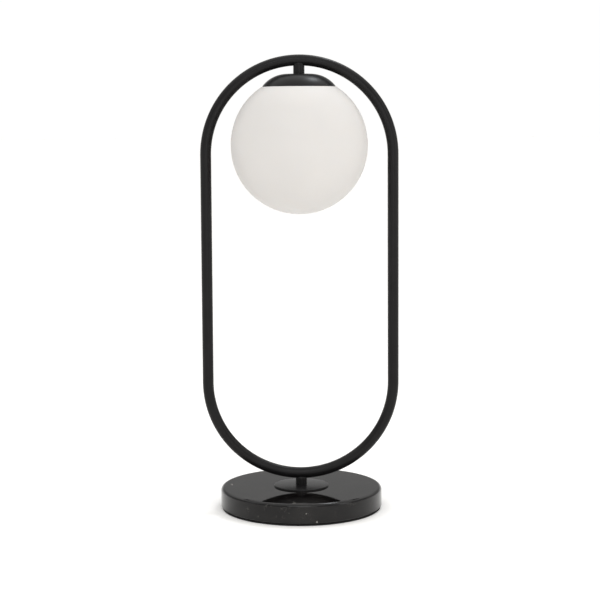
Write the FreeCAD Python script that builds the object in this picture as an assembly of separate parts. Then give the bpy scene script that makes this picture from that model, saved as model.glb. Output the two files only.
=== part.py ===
import FreeCAD, Part
import math
import os

from FreeCAD import Vector

# Glass globe table lamp.
#
# A closed loop of round tube stands on a thin plate and a round stone foot. A short
# stem inside the top of the loop carries a shallow cap, and a blown glass globe
# screws up into a collar hidden in that cap. The leads run from a terminal block in
# the underside of the foot, up the right side of the loop, to the lampholder.
#
# Millimetres, +Z up. The origin is the centre of the underside. The loop lies in
# the XZ plane, and +Y points to the rear, where the cord goes in.

# ---------------------------------------------------------------- driving sizes

# Loop of round tube: two straight sides joined by two half-round bends
TUBE_D = 12.0
TUBE_WALL = 1.0
BEND_R = 102.0              # to the tube's centre line
STRAIGHT_L = 250.0
LEAD_HOLE_D = 8.0           # through the tube wall into each stem

# Stone foot
PAD_T = 2.0
PAD_INSET = 1.5             # from the stone's side to the pad's edge
STONE_D = 178.0
STONE_H = 21.5
STONE_TOP_ROUND = 3.5
STONE_FOOT_CHAMFER = 1.5
STONE_HOLE_D = 11.0
RECESS_DEPTH = 13.0
RECESS_CLEAR = 1.5          # round the terminal block's corners

# Cord inlet at the rear of the foot
CORD_HOLE_D = 6.4
GROMMET_WALL = 1.3
GROMMET_L = 13.0
GROMMET_FLANGE_T = 3.0
GROMMET_FLANGE_LIP = 1.6
GROMMET_CLEAR = 0.1

# Plate and stems
PLATE_D = 60.0
PLATE_T = 1.5
PLATE_EDGE_ROUND = 0.3
STEM_D = 12.3
STEM_BORE_D = 10.0
STEM_END_ROUND = 2.4
LOWER_STEM_L = 7.0          # clear height between plate and loop
LOWER_SADDLE_RISE = 2.6     # how far the coped end climbs over the tube
UPPER_STEM_L = 8.9          # clear height between loop and cap
UPPER_SADDLE_RISE = 3.8

# Hollow threaded nipples and what they clamp. Threads are left plain.
NIPPLE_BORE_D = 7.0
THREAD_CLEAR = 0.05         # on the radius
NIPPLE_GRIP = 5.5           # length held inside a stem
NIPPLE_TAIL = 0.8           # length past the last nut
NUT_ACROSS_FLATS = 14.0
NUT_T = 3.0
WASHER_CLEAR = 0.15         # on the radius
BASE_WASHER_D = 32.0
BASE_WASHER_T = 1.5
CAP_WASHER_D = 18.0
CAP_WASHER_T = 0.8

# Earth tag under the lower nut
TAG_D = 16.0
TAG_T = 0.8
TAG_TONGUE_W = 5.0
TAG_BARREL_D = 4.0
TAG_BARREL_BORE_D = 2.4
TAG_BARREL_L = 6.0
TAG_REACH = 11.0            # from the nipple's axis to the barrel

# Two-pole terminal block, upside down under the stone
BLOCK_GAP = 1.5             # from the base washer to the block
BLOCK_L = 16.0
POLE_PITCH = 8.0
BLOCK_PLATE_T = 3.0
BLOCK_H = 11.0
POLE_TUBE_D = 7.2
CHIMNEY_D = 5.0
CHIMNEY_PITCH = 8.0
POLE_DROP = 4.5             # from the stone down to a pole's axis
BLOCK_SCREW_D = 3.0
BLOCK_SCREW_SINK = 0.6
SCREW_CLEAR = 0.1

# Leads
LEAD_D = 2.0
LEAD_CLEAR = 0.3            # on the radius, in the holes that the ends go into
LEAD_SPACING = 2.4          # between the two axes, inside the tube
LEAD_BEND_R = 6.0
LEAD_TURN_R = 10.0          # where the leads turn between a stem and the loop
LEAD_FLOOR_GAP = 2.4        # from the pad up to the leads
LEAD_BLOCK_GRIP = 5.0       # length inside the terminal block
LEAD_DROP_RUN = 5.0         # how far the leads go along as they drop to the pad
LEAD_SPREAD_SHARE = 0.4     # of the height between nipple and holder, where they part

# Cap: flat crown and one round shoulder down to the rim
CAP_D = 80.0
CAP_H = 13.6
CAP_CROWN_D = 26.0
CAP_WALL = 1.0

# Collar that the globe screws into
COLLAR_WALL = 1.0
COLLAR_HUB_D = 22.0
COLLAR_DISH = 2.4           # drop from the hub to the outer ring
COLLAR_SEAT_W = 5.0
NECK_CLEAR = 0.3            # on the radius, in place of the thread

# Globe
GLOBE_D = 149.0
GLOBE_WALL = 3.0
GLOBE_STRETCH = 1.2         # short straight band at the widest place
GLOBE_LIP = 0.6             # on the radius, from the cap's rim to the glass's shoulder
NECK_D = 60.4
RIM_GAP = 0.3               # between the cap's rim and the glass
SHOULDER_ROUND = 1.0
INNER_ROUND = 2.0
NECK_LIP_ROUND = 0.9
GASKET_T = 1.0
GASKET_CLEAR = 0.1          # above and below the gasket
GASKET_INSET = 0.4

# Lampholder for a two-pin lamp with its pins 9 mm apart
PIN_SPACING = 9.0
HOLDER_D = 22.0
HOLDER_FLATS = 18.0
HOLDER_H = 20.0
HOLDER_DROP = 10.8          # from the nipple's end down to the holder
POCKET_L = 6.0
POCKET_W = 3.0
POCKET_DEPTH = 14.0
CONTACT_T = 0.4
CONTACT_L = 5.0
CONTACT_GAP = 1.6           # between the two leaves of a contact
CONTACT_H = 10.0

# Bracket that carries the holder
BRACKET_T = 1.0
BRACKET_W = 11.0
BRACKET_BEND_R = 1.5
BRACKET_HOLE_UP = 6.0       # from the legs' ends to their screws
BRACKET_OVERLAP = 13.0      # length of leg beside the holder
SCREW_D = 3.0
SCREW_L = 5.0
SCREW_HEAD_D = 5.6
SCREW_HEAD_T = 2.0
SCREW_HEAD_ROUND = 0.8

# Lamp
BULB_GAP = 0.3              # between the lamp's base and the holder
PIN_WIRE_D = 1.0
PIN_LOOP_W = 2.6            # between the two legs' axes
PIN_L = 9.8
BULB_D = 16.6
BULB_BASE_H = 9.0
BULB_SPIGOT_H = 3.0
BULB_FIT = 0.2
ENVELOPE_L = 37.0
ENVELOPE_WALL = 1.0
BOARD_W = 8.0
BOARD_T = 1.2
BOARD_L = 24.0

# --------------------------------------------------------------- derived places

TUBE_R = TUBE_D / 2
NIPPLE_R = STEM_BORE_D / 2 - THREAD_CLEAR

STONE_BOTTOM = PAD_T
STONE_TOP = STONE_BOTTOM + STONE_H
RECESS_TOP = STONE_BOTTOM + RECESS_DEPTH
PLATE_TOP = STONE_TOP + PLATE_T

BLOCK_X = -(BASE_WASHER_D / 2 + BLOCK_GAP + BLOCK_L / 2)
RECESS_R = math.hypot(BLOCK_X - BLOCK_L / 2, POLE_PITCH) + RECESS_CLEAR

LOOP_BOTTOM = PLATE_TOP + LOWER_STEM_L
LOW_BEND_Z = LOOP_BOTTOM + TUBE_R + BEND_R
HIGH_BEND_Z = LOW_BEND_Z + STRAIGHT_L
LOOP_INNER_TOP = HIGH_BEND_Z + BEND_R - TUBE_R

BASE_WASHER_BOTTOM = RECESS_TOP - BASE_WASHER_T
TAG_BOTTOM = BASE_WASHER_BOTTOM - TAG_T
BASE_NUT_BOTTOM = TAG_BOTTOM - NUT_T
LOWER_NIPPLE_BOTTOM = BASE_NUT_BOTTOM - NIPPLE_TAIL
LOWER_NIPPLE_TOP = PLATE_TOP + NIPPLE_GRIP

GROMMET_R = CORD_HOLE_D / 2 + GROMMET_WALL
CORD_Z = STONE_BOTTOM + GROMMET_R

CAP_TOP = LOOP_INNER_TOP - UPPER_STEM_L
CAP_RIM = CAP_TOP - CAP_H
CAP_CROWN_IN = CAP_TOP - CAP_WALL
CAP_WASHER_BOTTOM = CAP_CROWN_IN - CAP_WASHER_T
COLLAR_TOP = CAP_WASHER_BOTTOM - NUT_T
BRACKET_TOP = COLLAR_TOP - COLLAR_WALL
COLLAR_NUT_TOP = BRACKET_TOP - BRACKET_T
COLLAR_NUT_BOTTOM = COLLAR_NUT_TOP - NUT_T
UPPER_NIPPLE_BOTTOM = COLLAR_NUT_BOTTOM - NIPPLE_TAIL
UPPER_NIPPLE_TOP = CAP_TOP + NIPPLE_GRIP

SHOULDER_Z = CAP_RIM - RIM_GAP
COLLAR_SEAT_Z = COLLAR_TOP - COLLAR_DISH - COLLAR_WALL
GASKET_TOP = COLLAR_SEAT_Z - GASKET_CLEAR
NECK_TOP = GASKET_TOP - GASKET_T - GASKET_CLEAR
NECK_R = NECK_D / 2
COLLAR_BORE_R = NECK_R + NECK_CLEAR

GLOBE_R = GLOBE_D / 2
MOUTH_R = CAP_D / 2 + GLOBE_LIP
GLOBE_HIGH_Z = SHOULDER_Z - math.sqrt(GLOBE_R ** 2 - MOUTH_R ** 2)
GLOBE_LOW_Z = GLOBE_HIGH_Z - GLOBE_STRETCH

HOLDER_TOP = UPPER_NIPPLE_BOTTOM - HOLDER_DROP
HOLDER_BOTTOM = HOLDER_TOP - HOLDER_H
POCKET_TOP = HOLDER_BOTTOM + POCKET_DEPTH
BRACKET_BOTTOM = HOLDER_TOP - BRACKET_OVERLAP
BRACKET_SCREW_Z = BRACKET_BOTTOM + BRACKET_HOLE_UP
PIN_Y = PIN_SPACING / 2

BULB_R = BULB_D / 2
BULB_TOP = HOLDER_BOTTOM - BULB_GAP
BULB_BASE_BOTTOM = BULB_TOP - BULB_BASE_H
SPIGOT_BOTTOM = BULB_BASE_BOTTOM - BULB_SPIGOT_H

LEAD_Y = LEAD_SPACING / 2
LEAD_HOLE_R = LEAD_D / 2 + LEAD_CLEAR
LEAD_RUN_Z = PAD_T + LEAD_FLOOR_GAP + LEAD_D / 2
POLE_Y = POLE_PITCH / 2
POLE_Z = RECESS_TOP - POLE_DROP

# --------------------------------------------------------------------- helpers


def cylinder(radius, bottom, top, x=0.0, y=0.0):
    """Upright cylinder between two heights."""
    return Part.makeCylinder(radius, top - bottom, Vector(x, y, bottom))


def ring(outer_r, inner_r, bottom, top):
    """Upright ring between two heights."""
    return cylinder(outer_r, bottom, top).cut(cylinder(inner_r, bottom, top))


def bar(start, length, radius, direction):
    """Cylinder from a point along a direction."""
    return Part.makeCylinder(radius, length, start, direction)


def block(low, high):
    """Box between its lowest and highest corners."""
    size = high - low
    return Part.makeBox(size.x, size.y, size.z, low)


def line(start, end):
    """Straight edge."""
    return Part.LineSegment(start, end).toShape()


def radial(radius, z):
    """Point of a turned profile."""
    return Vector(radius, 0, z)


def turned(edges):
    """Solid turned about the Z axis from the edges of a closed profile."""
    face = Part.Face(Part.Wire(Part.sortEdges(edges)[0]))
    return face.revolve(Vector(0, 0, 0), Vector(0, 0, 1), 360)


def polygon(points):
    """Edges of a closed polygon."""
    return [line(start, end) for start, end in zip(points, points[1:] + points[:1])]


def arc_about(centre, radius, start_angle, end_angle):
    """Arc in the XZ plane, its angles measured from +X towards +Z."""
    angles = (start_angle, (start_angle + end_angle) / 2, end_angle)
    on_arc = [centre + Vector(radius * math.cos(a), 0, radius * math.sin(a)) for a in angles]
    return Part.Arc(*on_arc).toShape()


def round_edges_at(solid, edge_radius, z, fillet):
    """Round the circular edges that have this radius and height."""
    tolerance = 1e-4
    found = [
        edge
        for edge in solid.Edges
        if not edge.Degenerated
        and isinstance(edge.Curve, Part.Circle)
        and abs(edge.Curve.Radius - edge_radius) < tolerance
        and abs(edge.Curve.Center.z - z) < tolerance
    ]
    return solid.makeFillet(fillet, found)


def hex_nut(bottom):
    """Thin nut on the lamp's axis, two of its flats facing +X and -X."""
    corner_r = NUT_ACROSS_FLATS / math.sqrt(3)
    corners = [
        Vector(corner_r * math.sin(turn), corner_r * math.cos(turn), bottom)
        for turn in (math.radians(60 * k) for k in range(6))
    ]
    prism = Part.Face(Part.Wire(polygon(corners))).extrude(Vector(0, 0, NUT_T))
    return prism.cut(cylinder(STEM_BORE_D / 2, bottom, bottom + NUT_T))


def racetrack_rod(radius):
    """Solid rod of the given radius along the loop's whole centre line."""
    rod = None
    for side in (-1, 1):
        leg = cylinder(radius, LOW_BEND_Z, HIGH_BEND_Z, side * BEND_R)
        bend_z = HIGH_BEND_Z if side > 0 else LOW_BEND_Z
        section = Part.Face(Part.Wire(Part.makeCircle(radius, Vector(BEND_R, 0, bend_z), Vector(0, 0, 1))))
        bend = section.revolve(Vector(0, 0, bend_z), Vector(0, -side, 0), 180)
        pair = leg.fuse(bend)
        rod = pair if rod is None else rod.fuse(pair)
    return rod.removeSplitter()


def rounded_run(points, radii):
    """Edges through the points, with each corner turned on a tangent arc."""
    edges = []
    start = points[0]
    for before, corner, after, radius in zip(points, points[1:], points[2:], radii):
        incoming = (corner - before).normalize()
        outgoing = (after - corner).normalize()
        half_turn = incoming.getAngle(outgoing) / 2
        reach = radius * math.tan(half_turn)
        arc_start = corner - incoming * reach
        arc_end = corner + outgoing * reach
        inward = (outgoing - incoming).normalize()
        arc_middle = corner + inward * (radius / math.cos(half_turn) - radius)
        edges.append(line(start, arc_start))
        edges.append(Part.Arc(arc_start, arc_middle, arc_end).toShape())
        start = arc_end
    edges.append(line(start, points[-1]))
    return edges


def wire_along(edges, diameter, start, direction):
    """Round wire swept along joined tangent edges."""
    path = Part.Wire(edges)
    section = Part.Wire(Part.makeCircle(diameter / 2, start, direction))
    return path.makePipeShell([section], True, False)


# ------------------------------------------------------------------------- foot


def base_pad():
    return cylinder(STONE_D / 2 - PAD_INSET, 0, PAD_T)


def inlet_channel(radius, front, back):
    """Round-topped channel along Y, open below, as wide as twice the radius."""
    crown = bar(Vector(0, front, CORD_Z), back - front, radius, Vector(0, 1, 0))
    legs = block(Vector(-radius, front, STONE_BOTTOM), Vector(radius, back, CORD_Z))
    return crown.fuse(legs)


def base_slab():
    radius = STONE_D / 2
    round_centre = radial(radius - STONE_TOP_ROUND, STONE_TOP - STONE_TOP_ROUND)
    profile = [
        line(radial(0, STONE_BOTTOM), radial(radius - STONE_FOOT_CHAMFER, STONE_BOTTOM)),
        line(radial(radius - STONE_FOOT_CHAMFER, STONE_BOTTOM), radial(radius, STONE_BOTTOM + STONE_FOOT_CHAMFER)),
        line(radial(radius, STONE_BOTTOM + STONE_FOOT_CHAMFER), radial(radius, STONE_TOP - STONE_TOP_ROUND)),
        arc_about(round_centre, STONE_TOP_ROUND, 0, math.pi / 2),
        line(radial(radius - STONE_TOP_ROUND, STONE_TOP), radial(0, STONE_TOP)),
        line(radial(0, STONE_TOP), radial(0, STONE_BOTTOM)),
    ]
    stone = turned(profile)
    stone = stone.cut(cylinder(STONE_HOLE_D / 2, STONE_BOTTOM, STONE_TOP))
    stone = stone.cut(cylinder(RECESS_R, STONE_BOTTOM, RECESS_TOP))
    channel_r = GROMMET_R + GROMMET_CLEAR
    flange_front = radius - GROMMET_L
    flange_back = flange_front + GROMMET_FLANGE_T
    stone = stone.cut(inlet_channel(channel_r, 0, radius))
    pocket_r = channel_r + GROMMET_FLANGE_LIP
    return stone.cut(inlet_channel(pocket_r, flange_front - GROMMET_CLEAR, flange_back + GROMMET_CLEAR))


def cord_grommet():
    radius = STONE_D / 2
    flange_front = radius - GROMMET_L
    body = inlet_channel(GROMMET_R, flange_front, radius)
    flange = inlet_channel(GROMMET_R + GROMMET_FLANGE_LIP, flange_front, flange_front + GROMMET_FLANGE_T)
    bore = bar(Vector(0, flange_front, CORD_Z), GROMMET_L, CORD_HOLE_D / 2, Vector(0, 1, 0))
    inside_stone = cylinder(radius, STONE_BOTTOM, STONE_TOP)
    return body.fuse(flange).common(inside_stone).cut(bore).removeSplitter()


def foot_plate():
    plate = ring(PLATE_D / 2, NIPPLE_R + WASHER_CLEAR, STONE_TOP, PLATE_TOP)
    return round_edges_at(plate, PLATE_D / 2, PLATE_TOP, PLATE_EDGE_ROUND)


def base_washer():
    return ring(BASE_WASHER_D / 2, NIPPLE_R + WASHER_CLEAR, BASE_WASHER_BOTTOM, RECESS_TOP)


def earth_tag():
    """Ring tag whose empty crimp barrel faces the cord inlet."""
    eye = cylinder(TAG_D / 2, TAG_BOTTOM, BASE_WASHER_BOTTOM)
    half_w = TAG_TONGUE_W / 2
    tongue = block(Vector(-half_w, 0, TAG_BOTTOM), Vector(half_w, TAG_REACH + TAG_T, BASE_WASHER_BOTTOM))
    barrel_start = Vector(0, TAG_REACH, BASE_WASHER_BOTTOM - TAG_BARREL_D / 2)
    barrel = bar(barrel_start, TAG_BARREL_L, TAG_BARREL_D / 2, Vector(0, 1, 0))
    bore = bar(barrel_start, TAG_BARREL_L, TAG_BARREL_BORE_D / 2, Vector(0, 1, 0))
    tag = eye.fuse(tongue).fuse(barrel).cut(bore)
    return tag.cut(cylinder(NIPPLE_R + WASHER_CLEAR, TAG_BOTTOM, BASE_WASHER_BOTTOM))


def base_nut():
    return hex_nut(BASE_NUT_BOTTOM)


def lower_nipple():
    return ring(NIPPLE_R, NIPPLE_BORE_D / 2, LOWER_NIPPLE_BOTTOM, LOWER_NIPPLE_TOP)


def chimney_places():
    """Centres of the terminal block's four screws."""
    return [
        (BLOCK_X + end * CHIMNEY_PITCH / 2, pole * POLE_Y)
        for end in (-1, 1)
        for pole in (-1, 1)
    ]


def terminal_block():
    half_l = BLOCK_L / 2
    plate = block(
        Vector(BLOCK_X - half_l, -POLE_PITCH, RECESS_TOP - BLOCK_PLATE_T),
        Vector(BLOCK_X + half_l, POLE_PITCH, RECESS_TOP),
    )
    body = plate
    along = Vector(1, 0, 0)
    for pole in (-1, 1):
        start = Vector(BLOCK_X - half_l, pole * POLE_Y, POLE_Z)
        body = body.fuse(bar(start, BLOCK_L, POLE_TUBE_D / 2, along))
    for x, y in chimney_places():
        body = body.fuse(cylinder(CHIMNEY_D / 2, RECESS_TOP - BLOCK_H, POLE_Z, x, y))
    for pole in (-1, 1):
        start = Vector(BLOCK_X - half_l, pole * POLE_Y, POLE_Z)
        body = body.cut(bar(start, BLOCK_L, LEAD_HOLE_R, along))
    for x, y in chimney_places():
        body = body.cut(cylinder(BLOCK_SCREW_D / 2 + SCREW_CLEAR, RECESS_TOP - BLOCK_H, POLE_Z, x, y))
    return body


def terminal_screws():
    bottom = RECESS_TOP - BLOCK_H + BLOCK_SCREW_SINK
    top = POLE_Z - LEAD_HOLE_R
    return Part.makeCompound([cylinder(BLOCK_SCREW_D / 2, bottom, top, x, y) for x, y in chimney_places()])


# ------------------------------------------------------------------------ frame


def frame_loop():
    tube = racetrack_rod(TUBE_R).cut(racetrack_rod(TUBE_R - TUBE_WALL))
    low_hole = cylinder(LEAD_HOLE_D / 2, LOOP_BOTTOM, LOOP_BOTTOM + TUBE_R)
    high_hole = cylinder(LEAD_HOLE_D / 2, LOOP_INNER_TOP, LOOP_INNER_TOP + TUBE_R)
    return tube.cut(low_hole).cut(high_hole)


def coped_stem(flat_end, coped_end):
    """Stem from its flat end to a rounded end, which is coped over the loop's tube."""
    bottom = min(flat_end, coped_end)
    top = max(flat_end, coped_end)
    stem = round_edges_at(cylinder(STEM_D / 2, bottom, top), STEM_D / 2, coped_end, STEM_END_ROUND)
    return stem.cut(cylinder(STEM_BORE_D / 2, bottom, top)).cut(racetrack_rod(TUBE_R))


def lower_stem():
    return coped_stem(PLATE_TOP, LOOP_BOTTOM + LOWER_SADDLE_RISE)


def upper_stem():
    return coped_stem(CAP_TOP, LOOP_INNER_TOP + UPPER_SADDLE_RISE)


# -------------------------------------------------------------- cap and collar


def cap_shoulder():
    """Radius and centre of the shoulder arc, which meets the flat crown smoothly."""
    width = (CAP_D - CAP_CROWN_D) / 2
    shoulder_r = (width ** 2 + CAP_H ** 2) / (2 * CAP_H)
    return shoulder_r, radial(CAP_CROWN_D / 2, CAP_TOP - shoulder_r)


def cap():
    outer_r, centre = cap_shoulder()
    inner_r = outer_r - CAP_WALL
    rim_rise = CAP_RIM - centre.z
    outer_angle = math.asin(rim_rise / outer_r)
    inner_angle = math.asin(rim_rise / inner_r)
    inner_rim_r = centre.x + inner_r * math.cos(inner_angle)
    profile = [
        line(radial(0, CAP_TOP), radial(centre.x, CAP_TOP)),
        arc_about(centre, outer_r, math.pi / 2, outer_angle),
        line(radial(CAP_D / 2, CAP_RIM), radial(inner_rim_r, CAP_RIM)),
        arc_about(centre, inner_r, inner_angle, math.pi / 2),
        line(radial(centre.x, CAP_CROWN_IN), radial(0, CAP_CROWN_IN)),
        line(radial(0, CAP_CROWN_IN), radial(0, CAP_TOP)),
    ]
    return turned(profile).cut(cylinder(NIPPLE_R + WASHER_CLEAR, CAP_CROWN_IN, CAP_TOP))


def upper_nipple():
    return ring(NIPPLE_R, NIPPLE_BORE_D / 2, UPPER_NIPPLE_BOTTOM, UPPER_NIPPLE_TOP)


def cap_washer():
    return ring(CAP_WASHER_D / 2, NIPPLE_R + WASHER_CLEAR, CAP_WASHER_BOTTOM, CAP_CROWN_IN)


def cap_nut():
    return hex_nut(COLLAR_TOP)


def globe_collar():
    """Spun cup: flat hub, cone, flat seat for the gasket and the skirt round the neck."""
    hub_r = COLLAR_HUB_D / 2
    seat_r = NECK_R - COLLAR_SEAT_W
    skirt_in = COLLAR_BORE_R
    skirt_out = skirt_in + COLLAR_WALL
    seat_top = COLLAR_SEAT_Z + COLLAR_WALL
    hole_r = NIPPLE_R + WASHER_CLEAR
    return turned(
        polygon(
            [
                radial(hole_r, COLLAR_TOP),
                radial(hub_r, COLLAR_TOP),
                radial(seat_r, seat_top),
                radial(skirt_out, seat_top),
                radial(skirt_out, CAP_RIM),
                radial(skirt_in, CAP_RIM),
                radial(skirt_in, COLLAR_SEAT_Z),
                radial(seat_r, COLLAR_SEAT_Z),
                radial(hub_r, BRACKET_TOP),
                radial(hole_r, BRACKET_TOP),
            ]
        )
    )


def collar_nut():
    return hex_nut(COLLAR_NUT_BOTTOM)


# ------------------------------------------------------------------ lampholder


def holder_bracket():
    """Strap bent down on both sides of the holder."""
    half_w = BRACKET_W / 2
    inner_x = HOLDER_FLATS / 2
    outer_x = inner_x + BRACKET_T
    outside = block(Vector(-outer_x, -half_w, BRACKET_BOTTOM), Vector(outer_x, half_w, BRACKET_TOP))
    inside = block(Vector(-inner_x, -half_w, BRACKET_BOTTOM), Vector(inner_x, half_w, COLLAR_NUT_TOP))
    outside = round_bends(outside, BRACKET_TOP, BRACKET_BEND_R + BRACKET_T)
    inside = round_bends(inside, COLLAR_NUT_TOP, BRACKET_BEND_R)
    strap = outside.cut(inside)
    strap = strap.cut(cylinder(NIPPLE_R + WASHER_CLEAR, COLLAR_NUT_TOP, BRACKET_TOP))
    through = bar(
        Vector(-outer_x, 0, BRACKET_SCREW_Z), 2 * outer_x, SCREW_D / 2 + SCREW_CLEAR, Vector(1, 0, 0)
    )
    return strap.cut(through)


def round_bends(box_shape, top, radius):
    """Round the two upper edges of a box that run along Y."""
    tolerance = 1e-4
    upper = [
        edge
        for edge in box_shape.Edges
        if abs(edge.BoundBox.ZMin - top) < tolerance and edge.BoundBox.XLength < tolerance
    ]
    return box_shape.makeFillet(radius, upper)


def lampholder():
    body = cylinder(HOLDER_D / 2, HOLDER_BOTTOM, HOLDER_TOP)
    half_flats = HOLDER_FLATS / 2
    body = body.common(
        block(
            Vector(-half_flats, -HOLDER_D / 2, HOLDER_BOTTOM),
            Vector(half_flats, HOLDER_D / 2, HOLDER_TOP),
        )
    )
    for side in (-1, 1):
        y = side * PIN_Y
        low = Vector(-POCKET_L / 2, y - POCKET_W / 2, HOLDER_BOTTOM)
        high = Vector(POCKET_L / 2, y + POCKET_W / 2, POCKET_TOP)
        body = body.cut(block(low, high))
        body = body.cut(cylinder(LEAD_HOLE_R, POCKET_TOP, HOLDER_TOP, 0, y))
        screw_mouth = Vector(side * half_flats, 0, BRACKET_SCREW_Z)
        body = body.cut(bar(screw_mouth, SCREW_L, SCREW_D / 2 + SCREW_CLEAR, Vector(-side, 0, 0)))
    return body


def socket_contacts():
    """Two sprung clips, each a web under the lead and two leaves beside the pin."""
    clips = []
    half_l = CONTACT_L / 2
    leaf_in = CONTACT_GAP / 2
    leaf_out = leaf_in + CONTACT_T
    for side in (-1, 1):
        y = side * PIN_Y
        clip = block(
            Vector(-half_l, y - leaf_out, POCKET_TOP - CONTACT_H),
            Vector(half_l, y + leaf_out, POCKET_TOP),
        )
        between = block(
            Vector(-half_l, y - leaf_in, POCKET_TOP - CONTACT_H),
            Vector(half_l, y + leaf_in, POCKET_TOP - CONTACT_T),
        )
        clips.append(clip.cut(between))
    return Part.makeCompound(clips)


def holder_screws():
    screws = []
    for side in (-1, 1):
        inward = Vector(-side, 0, 0)
        seat = Vector(side * (HOLDER_FLATS / 2 + BRACKET_T), 0, BRACKET_SCREW_Z)
        head_top = seat - inward * SCREW_HEAD_T
        head = bar(head_top, SCREW_HEAD_T, SCREW_HEAD_D / 2, inward)
        crown = [edge for edge in head.Edges if (edge.CenterOfMass - head_top).Length < SCREW_HEAD_T / 2]
        head = head.makeFillet(SCREW_HEAD_ROUND, crown)
        screws.append(head.fuse(bar(seat, SCREW_L, SCREW_D / 2, inward)))
    return Part.makeCompound(screws)


# -------------------------------------------------------------- globe and bulb


def globe():
    """Blown globe: half ball, short straight band, ball again up to a flat shoulder and a neck."""
    outer_low = radial(0, GLOBE_LOW_Z)
    outer_high = radial(0, GLOBE_HIGH_Z)
    inner_r = GLOBE_R - GLOBE_WALL
    inner_shoulder_z = SHOULDER_Z - GLOBE_WALL
    outer_angle = math.acos(MOUTH_R / GLOBE_R)
    inner_angle = math.asin((inner_shoulder_z - GLOBE_HIGH_Z) / inner_r)
    inner_mouth_r = inner_r * math.cos(inner_angle)
    neck_in = NECK_R - GLOBE_WALL
    profile = [
        arc_about(outer_low, GLOBE_R, -math.pi / 2, 0),
        line(radial(GLOBE_R, GLOBE_LOW_Z), radial(GLOBE_R, GLOBE_HIGH_Z)),
        arc_about(outer_high, GLOBE_R, 0, outer_angle),
        line(radial(MOUTH_R, SHOULDER_Z), radial(NECK_R, SHOULDER_Z)),
        line(radial(NECK_R, SHOULDER_Z), radial(NECK_R, NECK_TOP)),
        line(radial(NECK_R, NECK_TOP), radial(neck_in, NECK_TOP)),
        line(radial(neck_in, NECK_TOP), radial(neck_in, inner_shoulder_z)),
        line(radial(neck_in, inner_shoulder_z), radial(inner_mouth_r, inner_shoulder_z)),
        arc_about(outer_high, inner_r, inner_angle, 0),
        line(radial(inner_r, GLOBE_HIGH_Z), radial(inner_r, GLOBE_LOW_Z)),
        arc_about(outer_low, inner_r, 0, -math.pi / 2),
        line(radial(0, GLOBE_LOW_Z - inner_r), radial(0, GLOBE_LOW_Z - GLOBE_R)),
    ]
    glass = turned(profile)
    glass = round_edges_at(glass, MOUTH_R, SHOULDER_Z, SHOULDER_ROUND)
    glass = round_edges_at(glass, inner_mouth_r, inner_shoulder_z, INNER_ROUND)
    glass = round_edges_at(glass, neck_in, inner_shoulder_z, INNER_ROUND)
    return round_edges_at(glass, NECK_R, NECK_TOP, NECK_LIP_ROUND)


def neck_gasket():
    outer_r = NECK_R - GASKET_INSET
    inner_r = NECK_R - GLOBE_WALL - GASKET_INSET
    return ring(outer_r, inner_r, GASKET_TOP - GASKET_T, GASKET_TOP)


def bulb_base():
    flange = cylinder(BULB_R, BULB_BASE_BOTTOM, BULB_TOP)
    spigot = cylinder(BULB_R - ENVELOPE_WALL - BULB_FIT, SPIGOT_BOTTOM, BULB_BASE_BOTTOM)
    return flange.fuse(spigot)


def bulb_pins():
    """Two hairpin loops of wire that stand on the lamp's base."""
    loops = []
    half_w = PIN_LOOP_W / 2
    bend_z = BULB_TOP + PIN_L - half_w - PIN_WIRE_D / 2
    for side in (-1, 1):
        y = side * PIN_Y
        foot = Vector(-half_w, y, BULB_TOP)
        path = [
            line(foot, Vector(-half_w, y, bend_z)),
            arc_about(Vector(0, y, bend_z), half_w, math.pi, 0),
            line(Vector(half_w, y, bend_z), Vector(half_w, y, BULB_TOP)),
        ]
        loops.append(wire_along(path, PIN_WIRE_D, foot, Vector(0, 0, 1)))
    return Part.makeCompound(loops)


def envelope_skin(radius, top):
    """Round-ended body that hangs down from a height."""
    end_z = BULB_BASE_BOTTOM - ENVELOPE_L + BULB_R
    body = cylinder(radius, end_z, top)
    return body.fuse(Part.makeSphere(radius, Vector(0, 0, end_z)))


def bulb_envelope():
    skin = envelope_skin(BULB_R, BULB_BASE_BOTTOM)
    hollow = envelope_skin(BULB_R - ENVELOPE_WALL, BULB_BASE_BOTTOM)
    return skin.cut(hollow).removeSplitter()


def led_board():
    half_w = BOARD_W / 2
    half_t = BOARD_T / 2
    return block(
        Vector(-half_w, -half_t, SPIGOT_BOTTOM - BOARD_L),
        Vector(half_w, half_t, SPIGOT_BOTTOM),
    )


# ------------------------------------------------------------------------ leads


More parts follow.
